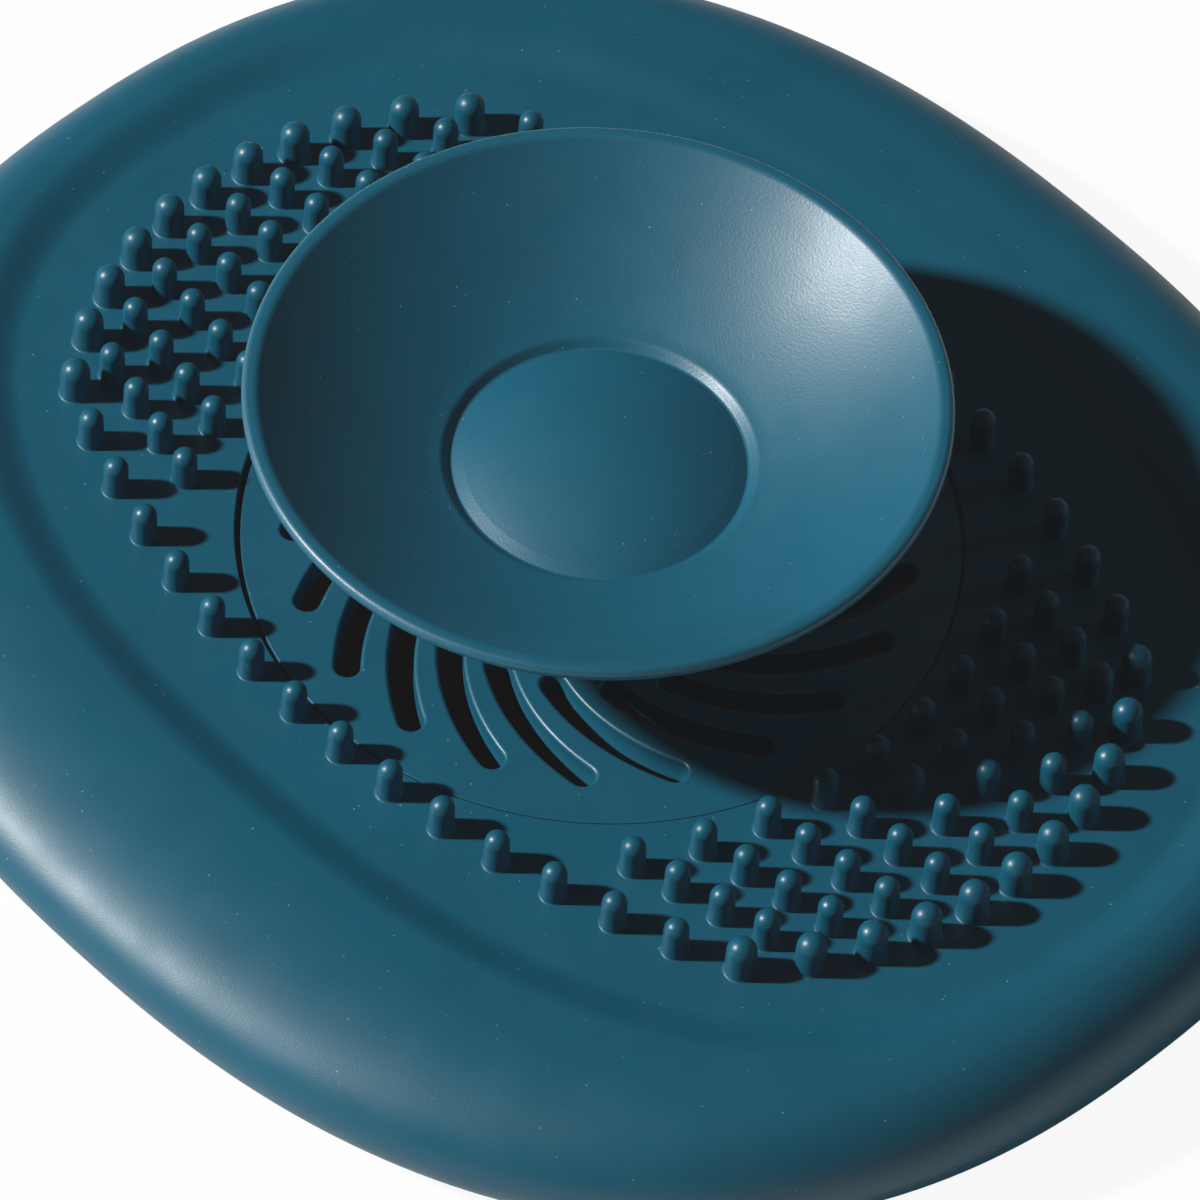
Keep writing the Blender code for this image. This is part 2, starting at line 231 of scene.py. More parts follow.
# Silicone: colours as linear values, the sheen over it, and a faint painted glow, given off by the
# silicone itself, that lifts the darkest shadows
mat_colour = (0.0010, 0.0900, 0.1470)
stopper_colour = (0.0012, 0.1040, 0.1700)
speck_colour = (0.30, 0.42, 0.48)
silicone_ior = 1.5
coat_roughness = 0.33
painted_glow = 0.0066

# Silicone: noise between its usual low and high values, and the detail of it
noise_low = 0.3
noise_high = 0.7
cloud_size = 0.011
cloud_detail = 3.0
cloud_tint_share = 0.05
smear_size = 0.004
smear_share = 0.07
fine_detail = 2.0

# Specks of dust: the size of the cells that may hold one, how far a speck reaches in its cell, which
# share of the cells stays bare, and how pale the palest speck is
speck_cell = 0.0011
speck_core = 0.040
speck_edge = 0.080
speck_bare_share = 0.50
speck_paleness = 0.8

# Heights between which the mat's pegs turn glossier to their tips
tip_start = 0.0118
tip_end = 0.0126

# Camera: the strainer's axis at deck height falls on this pixel of the 1200 px image
image_pixels = 1200
focal_pixels = 10000
pivot_pixel = (600.3, 533.4)
view_azimuth = radians(43.5)
view_elevation = radians(51.19)
view_roll = radians(4.0)
view_distance = 0.8235
sensor_width_mm = 36.0

# Lamps: the directions that they stand in, seen from the part
key_azimuth = radians(228.0)
key_elevation = radians(36.5)
key_distance = 1.6
key_size = 0.11
key_power = 36.0
fill_azimuth = radians(62.0)
fill_elevation = radians(9.0)
fill_distance = 1.3
fill_width = 0.35
fill_height = 0.60
fill_power = 2.5
ambient_strength = 0.015
glossy_strength = 0.07

# Floor: how much of its white is its own to the camera, and the disc of painted shade under the
# strainer
floor_size = 6.0
floor_white = 0.9
floor_roughness = 0.9
floor_glow_share = 0.93
painted_shade_radius = 0.0270
painted_shade_black = 0.01
painted_shade_glow = 0.0098

# Sizes that follow from the ones above
recess_length = mat_length - 2 * (border_slope_width / 2 + end_crest_width + roll_width)
recess_width = mat_width - 2 * (border_slope_width / 2 + side_crest_width + roll_width)
seat_radius = plate_radius + plate_side_clearance
crest_height = deck_height + border_rise
roll_widest_height = crest_height - roll_top_height
ledge_inner_radius = seat_radius - seat_ledge_width
skirt_radius = ledge_inner_radius - piece_gap
skirt_inner_radius = skirt_radius - skirt_wall
plate_bottom = deck_height - plate_thickness
ledge_top = plate_bottom - piece_gap
ledge_bottom = ledge_top - mat_wall
deck_underside = deck_height - mat_wall
bore_radius = stem_radius + stem_clearance
boss_radius = bore_radius + boss_wall
boss_bottom = plate_bottom - boss_length
button_edge_height = deck_height + button_height
hinge_radius = button_radius + step_width
hinge_height = button_edge_height + step_height
cup_place_x = recess_length / 2 - cup_end_inset
cup_place_y = recess_width / 2 - cup_side_inset
socket_floor = deck_underside - 2 * socket_clearance - cup_head_height


def bridge(bm, ring_a, ring_b):
    """Join two rings of as many vertices with four-sided faces."""
    count = len(ring_a)
    for i in range(count):
        j = (i + 1) % count
        bm.faces.new((ring_a[i], ring_a[j], ring_b[j], ring_b[i]))


def add_ring(bm, points):
    """New vertices along a ring of points."""
    return [bm.verts.new(point) for point in points]


def loft(bm, rings):
    """Join rings of vertices one after another."""
    for ring_a, ring_b in zip(rings, rings[1:]):
        bridge(bm, ring_a, ring_b)


def round_points(radius, height, segments, centre=(0, 0)):
    """Points round an upright axis."""
    points = []
    for i in range(segments):
        angle = 2 * pi * i / segments
        x = centre[0] + radius * cos(angle)
        y = centre[1] + radius * sin(angle)
        points.append(Vector((x, y, height)))
    return points


def inside_loop(point, loop):
    """Whether a point lies inside a closed loop of vertices, seen from above."""
    within = False
    for i, vertex in enumerate(loop):
        a, b = vertex.co, loop[i - 1].co
        if (a.y > point.y) != (b.y > point.y):
            if point.x < (b.x - a.x) * (point.y - a.y) / (b.y - a.y) + a.x:
                within = not within
    return within


def fill_flat(bm, outer, holes):
    """Fill the flat area inside one convex loop of vertices and outside the others with triangles."""
    verts, owner, edges = [], [], []
    for number, loop in enumerate([outer] + holes):
        start = len(verts)
        for i, vertex in enumerate(loop):
            verts.append(vertex)
            owner.append(number)
            edges.append((start + i, start + (i + 1) % len(loop)))
    scale = 1 / plate_radius
    flat = [vertex.co.xy * scale for vertex in verts]
    _, _, triangles, source, _, _ = delaunay_2d_cdt(flat, edges, [], 0, weld_distance)
    for triangle in triangles:
        corners = [source[i][0] for i in triangle]
        loops = {owner[i] for i in corners}
        if len(loops) == 1 and loops != {0}:
            middle = sum((verts[i].co for i in corners), Vector()) / 3
            if inside_loop(middle, holes[loops.pop() - 1]):
                continue
        bm.faces.new([verts[i] for i in corners])


def rounded(corners):
    """Profile through (radius, height, fillet) corners: a fillet is an arc between two guard bands."""
    profile = []
    for i, (x, y, fillet) in enumerate(corners):
        corner = Vector((x, y))
        if fillet == 0:
            profile.append((x, y))
            continue
        back = (Vector(corners[i - 1][:2]) - corner).normalized()
        ahead = (Vector(corners[(i + 1) % len(corners)][:2]) - corner).normalized()
        half = back.angle(ahead) / 2
        reach = fillet / tan(half)
        middle = corner + (back + ahead).normalized() * fillet / sin(half)
        start = corner + back * reach - middle
        end = corner + ahead * reach - middle
        turn = start.angle_signed(end)
        points = [corner + back * (reach + guard)]
        for step in range(fillet_steps + 1):
            arm = start.copy()
            arm.rotate(Matrix.Rotation(-turn * step / fillet_steps, 2))
            points.append(middle + arm)
        points.append(corner + ahead * (reach + guard))
        profile += [(point.x, point.y) for point in points]
    return profile


def divided(profile):
    """Profile with no step longer than the longest allowed."""
    points = [profile[0]]
    for (x0, y0), (x1, y1) in zip(profile, profile[1:]):
        count = max(1, round(hypot(x1 - x0, y1 - y0) / longest_step + rounding_up))
        for i in range(1, count):
            points.append((x0 + (x1 - x0) * i / count, y0 + (y1 - y0) * i / count))
        points.append((x1, y1))
    return points


def lathe(bm, profile, segments, centre=(0, 0)):
    """Turn a profile of (radius, height) points: ends at radius zero close, and others stay open."""
    rings = []
    for radius, height in profile:
        if radius == 0:
            rings.append(bm.verts.new((centre[0], centre[1], height)))
        else:
            rings.append(add_ring(bm, round_points(radius, height, segments, centre)))
    for a, b in zip(rings, rings[1:]):
        if isinstance(a, list) and isinstance(b, list):
            bridge(bm, a, b)
            continue
        ring, tip = (a, b) if isinstance(a, list) else (b, a)
        for i in range(segments):
            bm.faces.new((ring[i], ring[(i + 1) % segments], tip))
    return rings


def add_piece(name, bm, material):
    """Turn a closed mesh into a smooth-shaded piece with its material."""
    bmesh.ops.recalc_face_normals(bm, faces=bm.faces)
    mesh = bpy.data.meshes.new(name)
    bm.to_mesh(mesh)
    bm.free()
    mesh.shade_smooth()
    mesh.set_sharp_from_angle(angle=sharp_angle)
    mesh.materials.append(material)
    piece = bpy.data.objects.new(name, mesh)
    bpy.context.scene.collection.objects.link(piece)
    return piece


def oval_point(length, width, angle, outset):
    """Point of a rounded oblong outline at an angle from the middle, moved out square to it."""
    power = outline_power_share
    along = abs(cos(angle)) * 2 / length
    across = abs(sin(angle)) * 2 / width
    radius = (along ** power + across ** power) ** (-1 / power)
    slope_x = along ** (power - 1) / length
    slope_y = across ** (power - 1) / width
    normal = Vector((slope_x if cos(angle) > 0 else -slope_x, slope_y if sin(angle) > 0 else -slope_y))
    return Vector((radius * cos(angle), radius * sin(angle))) + normal.normalized() * outset


def oval_points(length, width, outset, height):
    """Points along a rounded oblong outline at one height."""
    points = []
    for i in range(mat_segments):
        point = oval_point(length, width, 2 * pi * (i + 0.5) / mat_segments, outset)
        points.append(Vector((point.x, point.y, height)))
    return points


def outline_points(inset, height):
    """Points along the mat's outline, moved in."""
    return oval_points(mat_length, mat_width, -inset, height)


def towards(point, azimuth):
    """How far a place on the border lies towards an azimuth, from 0 to 1."""
    return max(0, cos(atan2(point.y, point.x) - azimuth)) ** 2


def slope_points(share, skin):
    """Points along the slope from the recess up to the crest, which lies flatter at the back."""
    eased = share * share * (3 - 2 * share)
    outset = border_slope_width * (share - 0.5)
    points = oval_points(recess_length + slope_stretch, recess_width, outset, deck_height - skin)
    for point in points:
        point.z += border_rise * eased * (1 - flatness * towards(point, flat_azimuth))
        point.y += slope_shift
    return points


def roll_points(angle, skin):
    """Points on the rolled border, at an angle that runs from straight out up to the crest."""
    points = []
    for i, crest in enumerate(slope_points(1, skin)):
        place = 2 * pi * (i + 0.5) / mat_segments
        outer = oval_point(mat_length, mat_width, place, -skin)
        width = end_roll_width + (front_roll_width - end_roll_width) * towards(outer, front_azimuth)
        width += (back_roll_width - end_roll_width) * towards(outer, back_azimuth)
        point = outer.lerp(oval_point(mat_length, mat_width, place, -width), 1 - cos(angle)).to_3d()
        point.z = roll_widest_height + (crest.z - roll_widest_height) * sin(angle)
        points.append(point)
    return points


def slope_point_rings(skin, steps):
    """Rings of points up the slope, the inner one first."""
    return [slope_points(i / steps, skin) for i in range(steps + 1)]


def peg_places():
    """Places of all the pegs, and the radius of each: (x, y, radius)."""
    places = []
    for row in range(end_row_count):
        crown = recess_length / 2 - end_row_margin - row * end_row_step
        arc = end_row_radius + row * end_row_radius_step
        pitch = end_row_pitch + row * end_row_pitch_step
        count = inner_row_pegs if row else outer_row_pegs
        radius = thin_peg_radius if row else thick_peg_radius
        for k in range(count):
            across = (k - (count - 1) / 2) * pitch
            along = crown - arc + sqrt(arc ** 2 - across ** 2)
            places.append((along, across, radius))
            places.append((-along, -across, radius))
    for k in range(side_row_pegs):
        turn = (k - (side_row_pegs - 1) / 2) * side_row_pitch / side_row_radius
        along = side_row_radius * sin(turn)
        across = seat_radius + side_row_seat_margin - side_row_radius * (1 - cos(turn))
        places.append((along, across, thin_peg_radius))
        places.append((-along, -across, thin_peg_radius))
    return places


def peg_profile(radius):
    """Profile of one peg, from the deck round its foot up to the tip."""
    fillet = radius * peg_foot_share
    shoulder = radius * peg_taper_share
    profile = [(radius + fillet + guard, deck_height)]
    for step in range(fillet_steps + 1):
        angle = pi / 2 * step / fillet_steps
        profile.append((radius + fillet * (1 - sin(angle)), deck_height + fillet * (1 - cos(angle))))
    for step in range(2 * fillet_steps):
        angle = pi / 2 * step / (2 * fillet_steps)
        profile.append((shoulder * cos(angle), deck_height + peg_height - shoulder * (1 - sin(angle))))
    profile.append((0, deck_height + peg_height))
    return profile


def cup_places():
    """Places of the suction cups, by the name of their node."""
    return {
        "suction_cup_front_left": (-cup_place_x, -cup_place_y),
        "suction_cup_front_right": (cup_place_x, -cup_place_y),
        "suction_cup_back_left": (-cup_place_x, cup_place_y),
        "suction_cup_back_right": (cup_place_x, cup_place_y),
    }


def make_sockets():
    """Undercut sockets that hold the suction cups, to be joined on under the deck."""
    mouth = cup_neck_radius + socket_clearance
    chamber = cup_neck_radius + cup_head_overhang + socket_clearance
    outside = chamber + socket_wall
    lip_bottom = socket_floor - socket_lip_height
    root = deck_underside + mat_wall * socket_root_share
    corners = [
        (outside, root, 0),
        (outside, lip_bottom, mould_round),
        (mouth, lip_bottom, mould_round / 2),
        (mouth, socket_floor, mould_round / 2),
        (chamber, socket_floor, 0),
        (chamber, root, 0),
    ]
    bm = bmesh.new()
    for place in cup_places().values():
        rings = lathe(bm, rounded(corners), cup_segments, place)
        bridge(bm, rings[-1], rings[0])
    return bm


def join_on(piece, bm):
    """Join closed forms onto a piece as one solid."""
    bmesh.ops.recalc_face_normals(bm, faces=bm.faces)
    mesh = bpy.data.meshes.new("joined")
    bm.to_mesh(mesh)
    bm.free()
    guide = bpy.data.objects.new("joined", mesh)
    bpy.context.scene.collection.objects.link(guide)
    modifier = piece.modifiers.new("joined", "BOOLEAN")
    modifier.operation = "UNION"
    modifier.solver = "EXACT"
    modifier.object = guide
    shape = bpy.context.evaluated_depsgraph_get()
    result = bpy.data.meshes.new_from_object(piece.evaluated_get(shape))
    piece.modifiers.clear()
    piece.data = result
    bpy.data.objects.remove(guide)


def make_mat(material):
    """Mat: deck with its pegs, slope, crest, rolled border, lip, the hollow underside and the seat."""
    bm = bmesh.new()
    seat_corners = [
        (seat_radius + mat_wall + 2 * mould_round, deck_underside, 0),
        (seat_radius + mat_wall, deck_underside, mould_round),
        (seat_radius + mat_wall, ledge_bottom, mould_round),
        (ledge_inner_radius, ledge_bottom, mould_round / 2),
        (ledge_inner_radius, ledge_top, mould_round / 2),
        (seat_radius, ledge_top, mould_round / 2),
        (seat_radius, deck_height, seat_edge_round),
        (seat_radius + mat_wall, deck_height, 0),
    ]
    seat = lathe(bm, rounded(seat_corners)[:-1], mat_segments)
    peg_feet = []
    for x, y, radius in peg_places():
        peg_feet.append(lathe(bm, peg_profile(radius), peg_segments, (x, y))[0])
    rings = slope_point_rings(0.0, slope_steps)
    for step in range(roll_steps + 1):
        rings.append(roll_points(pi / 2 * (1 - step / roll_steps), 0.0))
    neck_height = roll_widest_height * lip_neck_height_share
    for share in lip_neck_shares:
        height = roll_widest_height + (neck_height - roll_widest_height) * share
        rings.append(outline_points(lip_inset * lip_neck_outer_share * share ** 2, height))
    lip_edge = lip_width * lip_edge_share
    rings.append(outline_points(lip_inset - lip_edge, lip_edge))
    rings.append(outline_points(lip_inset, 0))
    rings.append(outline_points(lip_inset + lip_width, 0))
    rings.append(outline_points(mat_wall + lip_inset * lip_neck_inner_share, neck_height))
    for step in range(inner_roll_steps - 1):
        rings.append(roll_points(pi / 2 * step / inner_roll_steps, mat_wall))
    rings += reversed(slope_point_rings(mat_wall, inner_slope_steps))
    shell = [add_ring(bm, points) for points in rings]
    loft(bm, shell)
    fill_flat(bm, shell[0], [seat[-1]] + peg_feet)
    fill_flat(bm, shell[-1], [seat[0]])
    mat = add_piece("silicone_mat", bm, material)
    join_on(mat, make_sockets())
    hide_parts("mat")
    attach(mat, "mat")


def slot_points(outset, height, turn):
    """Points round one slot: a band along a spiral, with round ends."""
    half = slot_width / 2 + outset
    span = slot_outer_radius - slot_inner_radius
    path, headings = [], []
    for i in range(slot_path_steps + 1):
        share = i / slot_path_steps
        radius = slot_inner_radius + span * share
        angle = slot_first_angle - slot_sweep * (1 - share) + turn
        path.append(Vector((radius * cos(angle), radius * sin(angle))))
        sideways = radius * slot_sweep / span
        outward = Vector((cos(angle), sin(angle)))
        headings.append((outward + Vector((-sin(angle), cos(angle))) * sideways).normalized())
    points = [place + Vector((way.y, -way.x)) * half for place, way in zip(path, headings)]
    for step in range(1, slot_end_steps):
        angle = pi * step / slot_end_steps
        way = headings[-1]
        points.append(path[-1] + (Vector((way.y, -way.x)) * cos(angle) + way * sin(angle)) * half)
    for place, way in zip(reversed(path), reversed(headings)):
        points.append(place - Vector((way.y, -way.x)) * half)
    for step in range(1, slot_end_steps):
        angle = pi * step / slot_end_steps
        way = headings[0]
        points.append(path[0] - (Vector((way.y, -way.x)) * cos(angle) + way * sin(angle)) * half)
    return [Vector((point.x, point.y, height)) for point in points]


def slot_section():
    """Section of a slot's edge as (outset, height), from the plate's top to its underside."""
    section = [(slot_top_round + guard, deck_height)]
    for step in range(fillet_steps + 1):
        angle = pi / 2 * step / fillet_steps
        outset = slot_top_round * (1 - sin(angle))
        section.append((outset, deck_height - slot_top_round * (1 - cos(angle))))
    section.append((0, deck_height - slot_top_round - guard))
    section.append((0, plate_bottom + slot_flash_height + slot_flash_width))
    section.append((-slot_flash_width, plate_bottom + slot_flash_height))
    section.append((-slot_flash_width, plate_bottom))
    return section


def make_strainer(material):
    """Strainer: plate with curved slots, skirt and bored boss."""
    bm = bmesh.new()
    skirt_bottom = plate_bottom - skirt_length
    edge_corners = [
        (skirt_inner_radius - mould_round, plate_bottom, 0),
        (skirt_inner_radius, plate_bottom, mould_round / 2),
        (skirt_inner_radius, skirt_bottom, mould_round),
        (skirt_radius, skirt_bottom, mould_round),
        (skirt_radius, plate_bottom, 0),
        (plate_radius, plate_bottom, plate_edge_round),
        (plate_radius, deck_height, plate_edge_round),
        (plate_radius - 2 * plate_edge_round, deck_height, 0),
    ]
    boss_corners = [
        (bore_radius + 2 * mould_round, deck_height, 0),
        (bore_radius, deck_height, mould_round),
        (bore_radius, boss_bottom, mould_round),
        (boss_radius, boss_bottom, mould_round),
        (boss_radius, plate_bottom, mould_round),
        (boss_radius + 2 * mould_round, plate_bottom, 0),
    ]
    edge = lathe(bm, rounded(edge_corners)[1:], round_segments)
    shift = Vector((cos(plate_shift_azimuth), sin(plate_shift_azimuth), 0)) * plate_shift
    for ring in edge:
        if ring[0].co.x > skirt_radius + guard:
            for vertex in ring:
                vertex.co += shift
    boss = lathe(bm, rounded(boss_corners), cup_segments)
    tops, undersides = [], []
    for k in range(slot_count):
        turn = 2 * pi * k / slot_count
        rings = [add_ring(bm, slot_points(outset, height, turn)) for outset, height in slot_section()]
        loft(bm, rings)
        tops.append(rings[0])
        undersides.append(rings[-1])
    fill_flat(bm, edge[-1], [boss[0]] + tops)
    fill_flat(bm, edge[0], [boss[-1]] + undersides)
    strainer = add_piece("silicone_strainer", bm, material)
    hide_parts("strainer")
    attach(strainer, "strainer")


def dome_profile(radius, rise):
    """Domed top of the button, from its middle to where its edge turns steeper."""
    sphere = (radius ** 2 + rise ** 2) / (2 * rise)
    spread = asin(radius / sphere)
    top = button_edge_height + button_dome_rise
    points = []
    for i in range(dome_steps + 1):
        angle = spread * i / dome_steps
        points.append((sphere * sin(angle), top - sphere * (1 - cos(angle))))
    return points


def wall_profile(start, end):
    """Sagging line of the stopper's wall from a point by the hinge to where it runs onto the rim."""
    reach, rise = end[0] - start[0], end[1] - start[1]
    sag = (tan(rim_slope) * reach - rise) / 4
    points = []
    for i in range(wall_steps + 1):
        share = i / wall_steps
        height = start[1] + rise * share - 4 * sag * share * (1 - share)
        points.append((start[0] + reach * share, height))
    return points


def stopper_profile():
    """Section of the stopper, from the top of its button round the rim to the end of its stem."""
    foot = deck_height + piece_gap
    stem_end = boss_bottom - piece_gap
    barb_radius = stem_radius + barb_overhang
    dome_radius = button_radius - button_ring_width
    edge_drop = dome_edge_width * tan(dome_edge_slope)
    dome = dome_profile(dome_radius - dome_edge_width, button_dome_rise - edge_drop)
    rim_inner_radius = rim_radius - rim_band_width
    rim_under = (rim_radius, rim_top - rim_side_height)
    above = wall_profile((hinge_radius, hinge_height), (rim_inner_radius, rim_top))
    hinge_under = (button_radius + step_width * hinge_wall_share, button_edge_height - hinge_wall)
    below = wall_profile(hinge_under, rim_under)
    top_corners = [
        (*dome[-2], 0),
        (*dome[-1], dome_edge_round),
        (dome_radius, button_edge_height, dome_foot_round),
        (button_radius, button_edge_height + button_ring_rise, step_foot_round),
        (
            button_radius + step_width * step_turn_share,
            button_edge_height + step_height * step_turn_height_share,
            step_shoulder_round,
        ),
        (*above[1], 0),
    ]
    rim_corners = [
        (*above[-2], 0),
        (rim_inner_radius, rim_top, rim_shoulder_round),
        (rim_radius, rim_top, rim_edge_round),
        (*rim_under, rim_under_round),
        (*below[-2], 0),
    ]
    under_corners = [
        (*below[1], 0),
        (*hinge_under, mould_round),
        (column_top_radius, button_edge_height - hub_skin, mould_round * 4),
        (column_waist_radius, deck_height + button_height * column_waist_height_share, mould_round * 4),
        (column_foot_radius, foot + column_foot_height, mould_round),
        (column_foot_radius, foot, mould_round / 2),
        (stem_radius, foot, mould_round / 2),
        (stem_radius, stem_end, mould_round / 2),
        (barb_radius, stem_end, mould_round / 2),
        (barb_radius, stem_end - barb_land, mould_round / 2),
        (stem_radius * barb_tip_share, stem_end - barb_length, mould_round),
        (0, stem_end - barb_length, 0),
    ]
    top = dome[:-2] + rounded(top_corners) + above[2:-2]
    return top + rounded(rim_corners) + below[-3:1:-1] + rounded(under_corners)


def make_stopper(material):
    """Stopper in one moulding: button, step, wall with its rim, column, stem and barb."""
    bm = bmesh.new()
    lathe(bm, divided(stopper_profile()), round_segments)
    for vertex in bm.verts:
        lean = max(0, vertex.co.z - deck_height) * lean_share
        vertex.co += Vector((cos(lean_azimuth), sin(lean_azimuth), 0)) * lean
    stopper = add_piece("silicone_stopper", bm, material)
    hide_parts("stopper_hub", "stopper_wall", "stopper_rim")
    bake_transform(stopper)


def make_suction_cups(material):
    """Suction cups: bell, neck and the head that snaps into its socket."""
    head_radius = cup_neck_radius + cup_head_overhang
    head_bottom = socket_floor + socket_clearance
    corners = [
        (0, head_bottom + cup_head_height, 0),
        (head_radius, head_bottom + cup_head_height / 2, mould_round / 2),
        (head_radius, head_bottom, mould_round / 2),
        (cup_neck_radius, head_bottom, mould_round / 2),
        (cup_neck_radius, cup_height - cup_lip_width / 2, mould_round * 2),
        (cup_radius * cup_shoulder_share, cup_shoulder_height, mould_round * 4),
        (cup_radius, cup_lip_width / 2, mould_round / 3),
        (cup_radius, 0, mould_round / 3),
        (cup_radius - cup_lip_width, 0, mould_round / 3),
        (cup_radius * cup_hollow_share, cup_hollow_height * cup_hollow_side_share, mould_round * 4),
        (0, cup_hollow_height, 0),
    ]
    for name, place in cup_places().items():
        bm = bmesh.new()
        lathe(bm, divided(rounded(corners)), cup_segments, place)
        cup = add_piece("silicone_" + name, bm, material)
        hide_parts(name)
        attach(cup, "mat")


def add_noise(tree, place, size, detail):
    """Noise with features of a real size."""
    noise = tree.nodes.new("ShaderNodeTexNoise")
    noise.inputs["Scale"].default_value = 1 / size
    noise.inputs["Detail"].default_value = detail
    tree.links.new(place, noise.inputs["Vector"])
    return noise.outputs["Fac"]


def add_range(tree, value, from_low, from_high, to_low, to_high):
    """Map a value from one range to another, held at its ends."""
    node = tree.nodes.new("ShaderNodeMapRange")
    node.inputs["From Min"].default_value = from_low
    node.inputs["From Max"].default_value = from_high
    node.inputs["To Min"].default_value = to_low
    node.inputs["To Max"].default_value = to_high
    tree.links.new(value, node.inputs["Value"])
    return node.outputs["Result"]


def add_mix(tree, factor, colour_a, colour_b):
    """Mix two colours, each a socket or a fixed value."""
    node = tree.nodes.new("ShaderNodeMix")
    node.data_type = "RGBA"
    tree.links.new(factor, node.inputs["Factor"])
    for socket, colour in ((node.inputs["A"], colour_a), (node.inputs["B"], colour_b)):
        if isinstance(colour, tuple):
            socket.default_value = (*colour, 1.0)
        else:
            tree.links.new(colour, socket)
    return node.outputs["Result"]


def silicone(name, colour, gloss, roughness, tip_roughness, coat, grain_size, grain_depth):
    """Moulded silicone: satin under a sheen, fine grain, slight clouding, specks of dust and a faint
    painted glow.
    """
    material = bpy.data.materials.new(name)
    material.use_nodes = True
    tree = material.node_tree
    shader = tree.nodes["Principled BSDF"]
    shader.inputs["Specular IOR Level"].default_value = gloss
    shader.inputs["IOR"].default_value = silicone_ior
    shader.inputs["Coat Weight"].default_value = coat
    shader.inputs["Coat Roughness"].default_value = coat_roughness
    # Painted glow: the silicone gives off a faint even white light of its own that lifts its darkest
    # shadows
    shader.inputs["Emission Color"].default_value = (1.0, 1.0, 1.0, 1.0)
    shader.inputs["Emission Strength"].default_value = painted_glow
    place = tree.nodes.new("ShaderNodeTexCoord").outputs["Object"]
    cloud = add_noise(tree, place, cloud_size, cloud_detail)
    cloud = add_range(tree, cloud, noise_low, noise_high, 0.0, 1.0)
    darker = tuple(c * (1 - cloud_tint_share) for c in colour)
    lighter = tuple(c * (1 + cloud_tint_share) for c in colour)
    clouded = add_mix(tree, cloud, darker, lighter)
    dots = tree.nodes.new("ShaderNodeTexVoronoi")
    dots.inputs["Scale"].default_value = 1 / speck_cell
    tree.links.new(place, dots.inputs["Vector"])
    dot = add_range(tree, dots.outputs["Distance"], speck_core, speck_edge, 1.0, 0.0)
    chosen = tree.nodes.new("ShaderNodeSeparateColor")
    tree.links.new(dots.outputs["Color"], chosen.inputs["Color"])
    some = add_range(tree, chosen.outputs["Red"], speck_bare_share, 1.0, 0.0, speck_paleness)
    speck = tree.nodes.new("ShaderNodeMath")
    speck.operation = "MULTIPLY"
    tree.links.new(dot, speck.inputs[0])
    tree.links.new(some, speck.inputs[1])
    tree.links.new(add_mix(tree, speck.outputs[0], clouded, speck_colour), shader.inputs["Base Color"])
    smear = add_noise(tree, place, smear_size, fine_detail)
    smear = add_range(tree, smear, noise_low, noise_high, 1 - smear_share, 1 + smear_share)
    height = tree.nodes.new("ShaderNodeSeparateXYZ")
    tree.links.new(place, height.inputs["Vector"])
    base = add_range(tree, height.outputs["Z"], tip_start, tip_end, roughness, tip_roughness)
    smeared = tree.nodes.new("ShaderNodeMath")
    smeared.operation = "MULTIPLY"
    tree.links.new(base, smeared.inputs[0])
    tree.links.new(smear, smeared.inputs[1])
    tree.links.new(smeared.outputs[0], shader.inputs["Roughness"])
    bump = tree.nodes.new("ShaderNodeBump")
    bump.inputs["Strength"].default_value = 1.0
    bump.inputs["Distance"].default_value = grain_depth
    tree.links.new(add_noise(tree, place, grain_size, fine_detail), bump.inputs["Height"])
    tree.links.new(bump.outputs["Normal"], shader.inputs["Normal"])
    tree.links.new(bump.outputs["Normal"], shader.inputs["Coat Normal"])
    return material


def direction(azimuth, elevation):
    """Direction from the part towards a place round it: azimuth 0 is +X and 90 degrees +Y."""
    return Vector((cos(azimuth) * cos(elevation), sin(azimuth) * cos(elevation), sin(elevation)))


def add_lamp(name, way, distance, width, height, power):
    """Lamp that looks at the part: round where its width and height are the same, or else oblong."""
    lamp = bpy.data.lights.new(name, "AREA")
    lamp.shape = "DISK" if width == height else "RECTANGLE"
    lamp.size = width
    lamp.size_y = height
    lamp.energy = power
    item = bpy.data.objects.new(name, lamp)
    item.location = Vector((0, 0, deck_height)) + way * distance
    item.rotation_euler = way.to_track_quat("Z", "Y").to_euler()
    bpy.context.scene.collection.objects.link(item)
    return item


def make_lamps():
    """Small hard key from the left, and a weak, low fill from behind that no reflection shows."""
    left = direction(key_azimuth, key_elevation)
    add_lamp("key_lamp", left, key_distance, key_size, key_size, key_power)
    behind = direction(fill_azimuth, fill_elevation)
    fill = add_lamp("fill_lamp", behind, fill_distance, fill_width, fill_height, fill_power)
    fill.visible_glossy = False


def make_world():
    """White to the camera, dim to everything else, and a little brighter in reflections."""
    world = bpy.data.worlds.new("studio")
    bpy.context.scene.world = world
    world.use_nodes = True
    tree = world.node_tree
    background = tree.nodes["Background"]
    background.inputs["Color"].default_value = (1.0, 1.0, 1.0, 1.0)
    rays = tree.nodes.new("ShaderNodeLightPath")
    glossy = add_range(tree, rays.outputs["Is Glossy Ray"], 0.0, 1.0, ambient_strength, glossy_strength)
    brighter = tree.nodes.new("ShaderNodeMath")
    brighter.operation = "MAXIMUM"
    tree.links.new(glossy, brighter.inputs[0])
    tree.links.new(rays.outputs["Is Camera Ray"], brighter.inputs[1])
    tree.links.new(brighter.outputs[0], background.inputs["Strength"])


